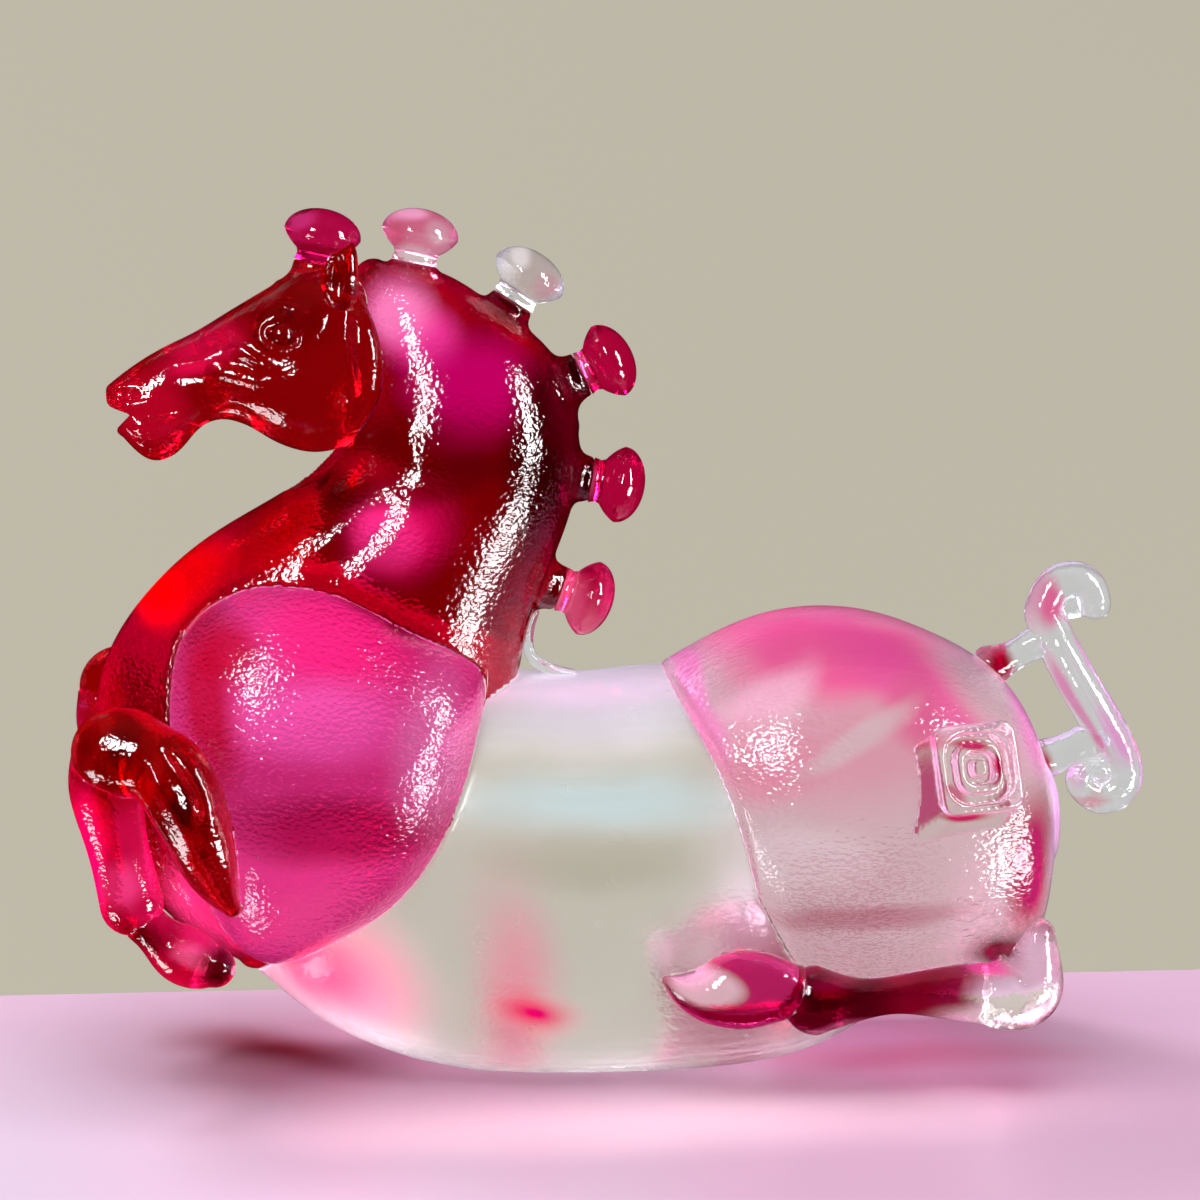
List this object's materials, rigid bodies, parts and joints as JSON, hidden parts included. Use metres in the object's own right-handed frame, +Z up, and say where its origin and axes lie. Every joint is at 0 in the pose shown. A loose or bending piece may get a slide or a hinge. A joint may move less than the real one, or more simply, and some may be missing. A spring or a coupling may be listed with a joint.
{
  "type": "glass horse figurine",
  "caption": "Cast-glass horse figurine lying on its belly with folded legs, knobbed mane and scrolled tail; a decorative tabletop ornament or paperweight.",
  "frame": {"origin": "on the table, under the middle of the figurine's overall size", "axes": "+Z up, -X towards the head and +X towards the tail, -Y the horse's left side and +Y its right side"},
  "size_m": [0.1824, 0.0743, 0.1443],
  "materials": {
    "ruby_glass": "deep ruby cast glass, polished with a faint satin texture",
    "magenta_glass": "magenta cast glass, satin texture",
    "rose_glass": "rose glass fading to clear, satin texture",
    "frosted_glass": "colourless frosted cast glass",
    "clear_glass": "clear polished glass",
    "rosy_clear_glass": "clear glass with a pink tint, polished",
    "cherry_glass": "cherry red glass, polished"
  },
  "bodies": {
    "root": {"head": "ruby_glass", "neck_and_chest": "ruby_glass", "left_shoulder": "magenta_glass", "right_shoulder": "magenta_glass", "barrel": "frosted_glass", "hindquarters": "rose_glass", "left_ear": "ruby_glass", "right_ear": "ruby_glass", "left_eye": "ruby_glass", "right_eye": "ruby_glass", "forelock_knob": "magenta_glass", "mane_knob_1": "rosy_clear_glass", "mane_knob_2": "clear_glass", "mane_knob_3": "cherry_glass", "mane_knob_4": "cherry_glass", "mane_knob_5": "cherry_glass", "withers_strip": "clear_glass", "left_forearm": "ruby_glass", "right_forearm": "ruby_glass", "left_fore_cannon": "magenta_glass", "right_fore_cannon": "magenta_glass", "left_fore_hoof": "cherry_glass", "right_fore_hoof": "cherry_glass", "left_hock": "clear_glass", "right_hock": "clear_glass", "left_hind_cannon": "cherry_glass", "right_hind_cannon": "cherry_glass", "left_hind_hoof": "cherry_glass", "right_hind_hoof": "cherry_glass", "tail_scroll": "clear_glass", "tail_upper_peg": "clear_glass", "tail_lower_peg": "clear_glass", "rump_seal": "rosy_clear_glass"}
  },
  "joints": []
}
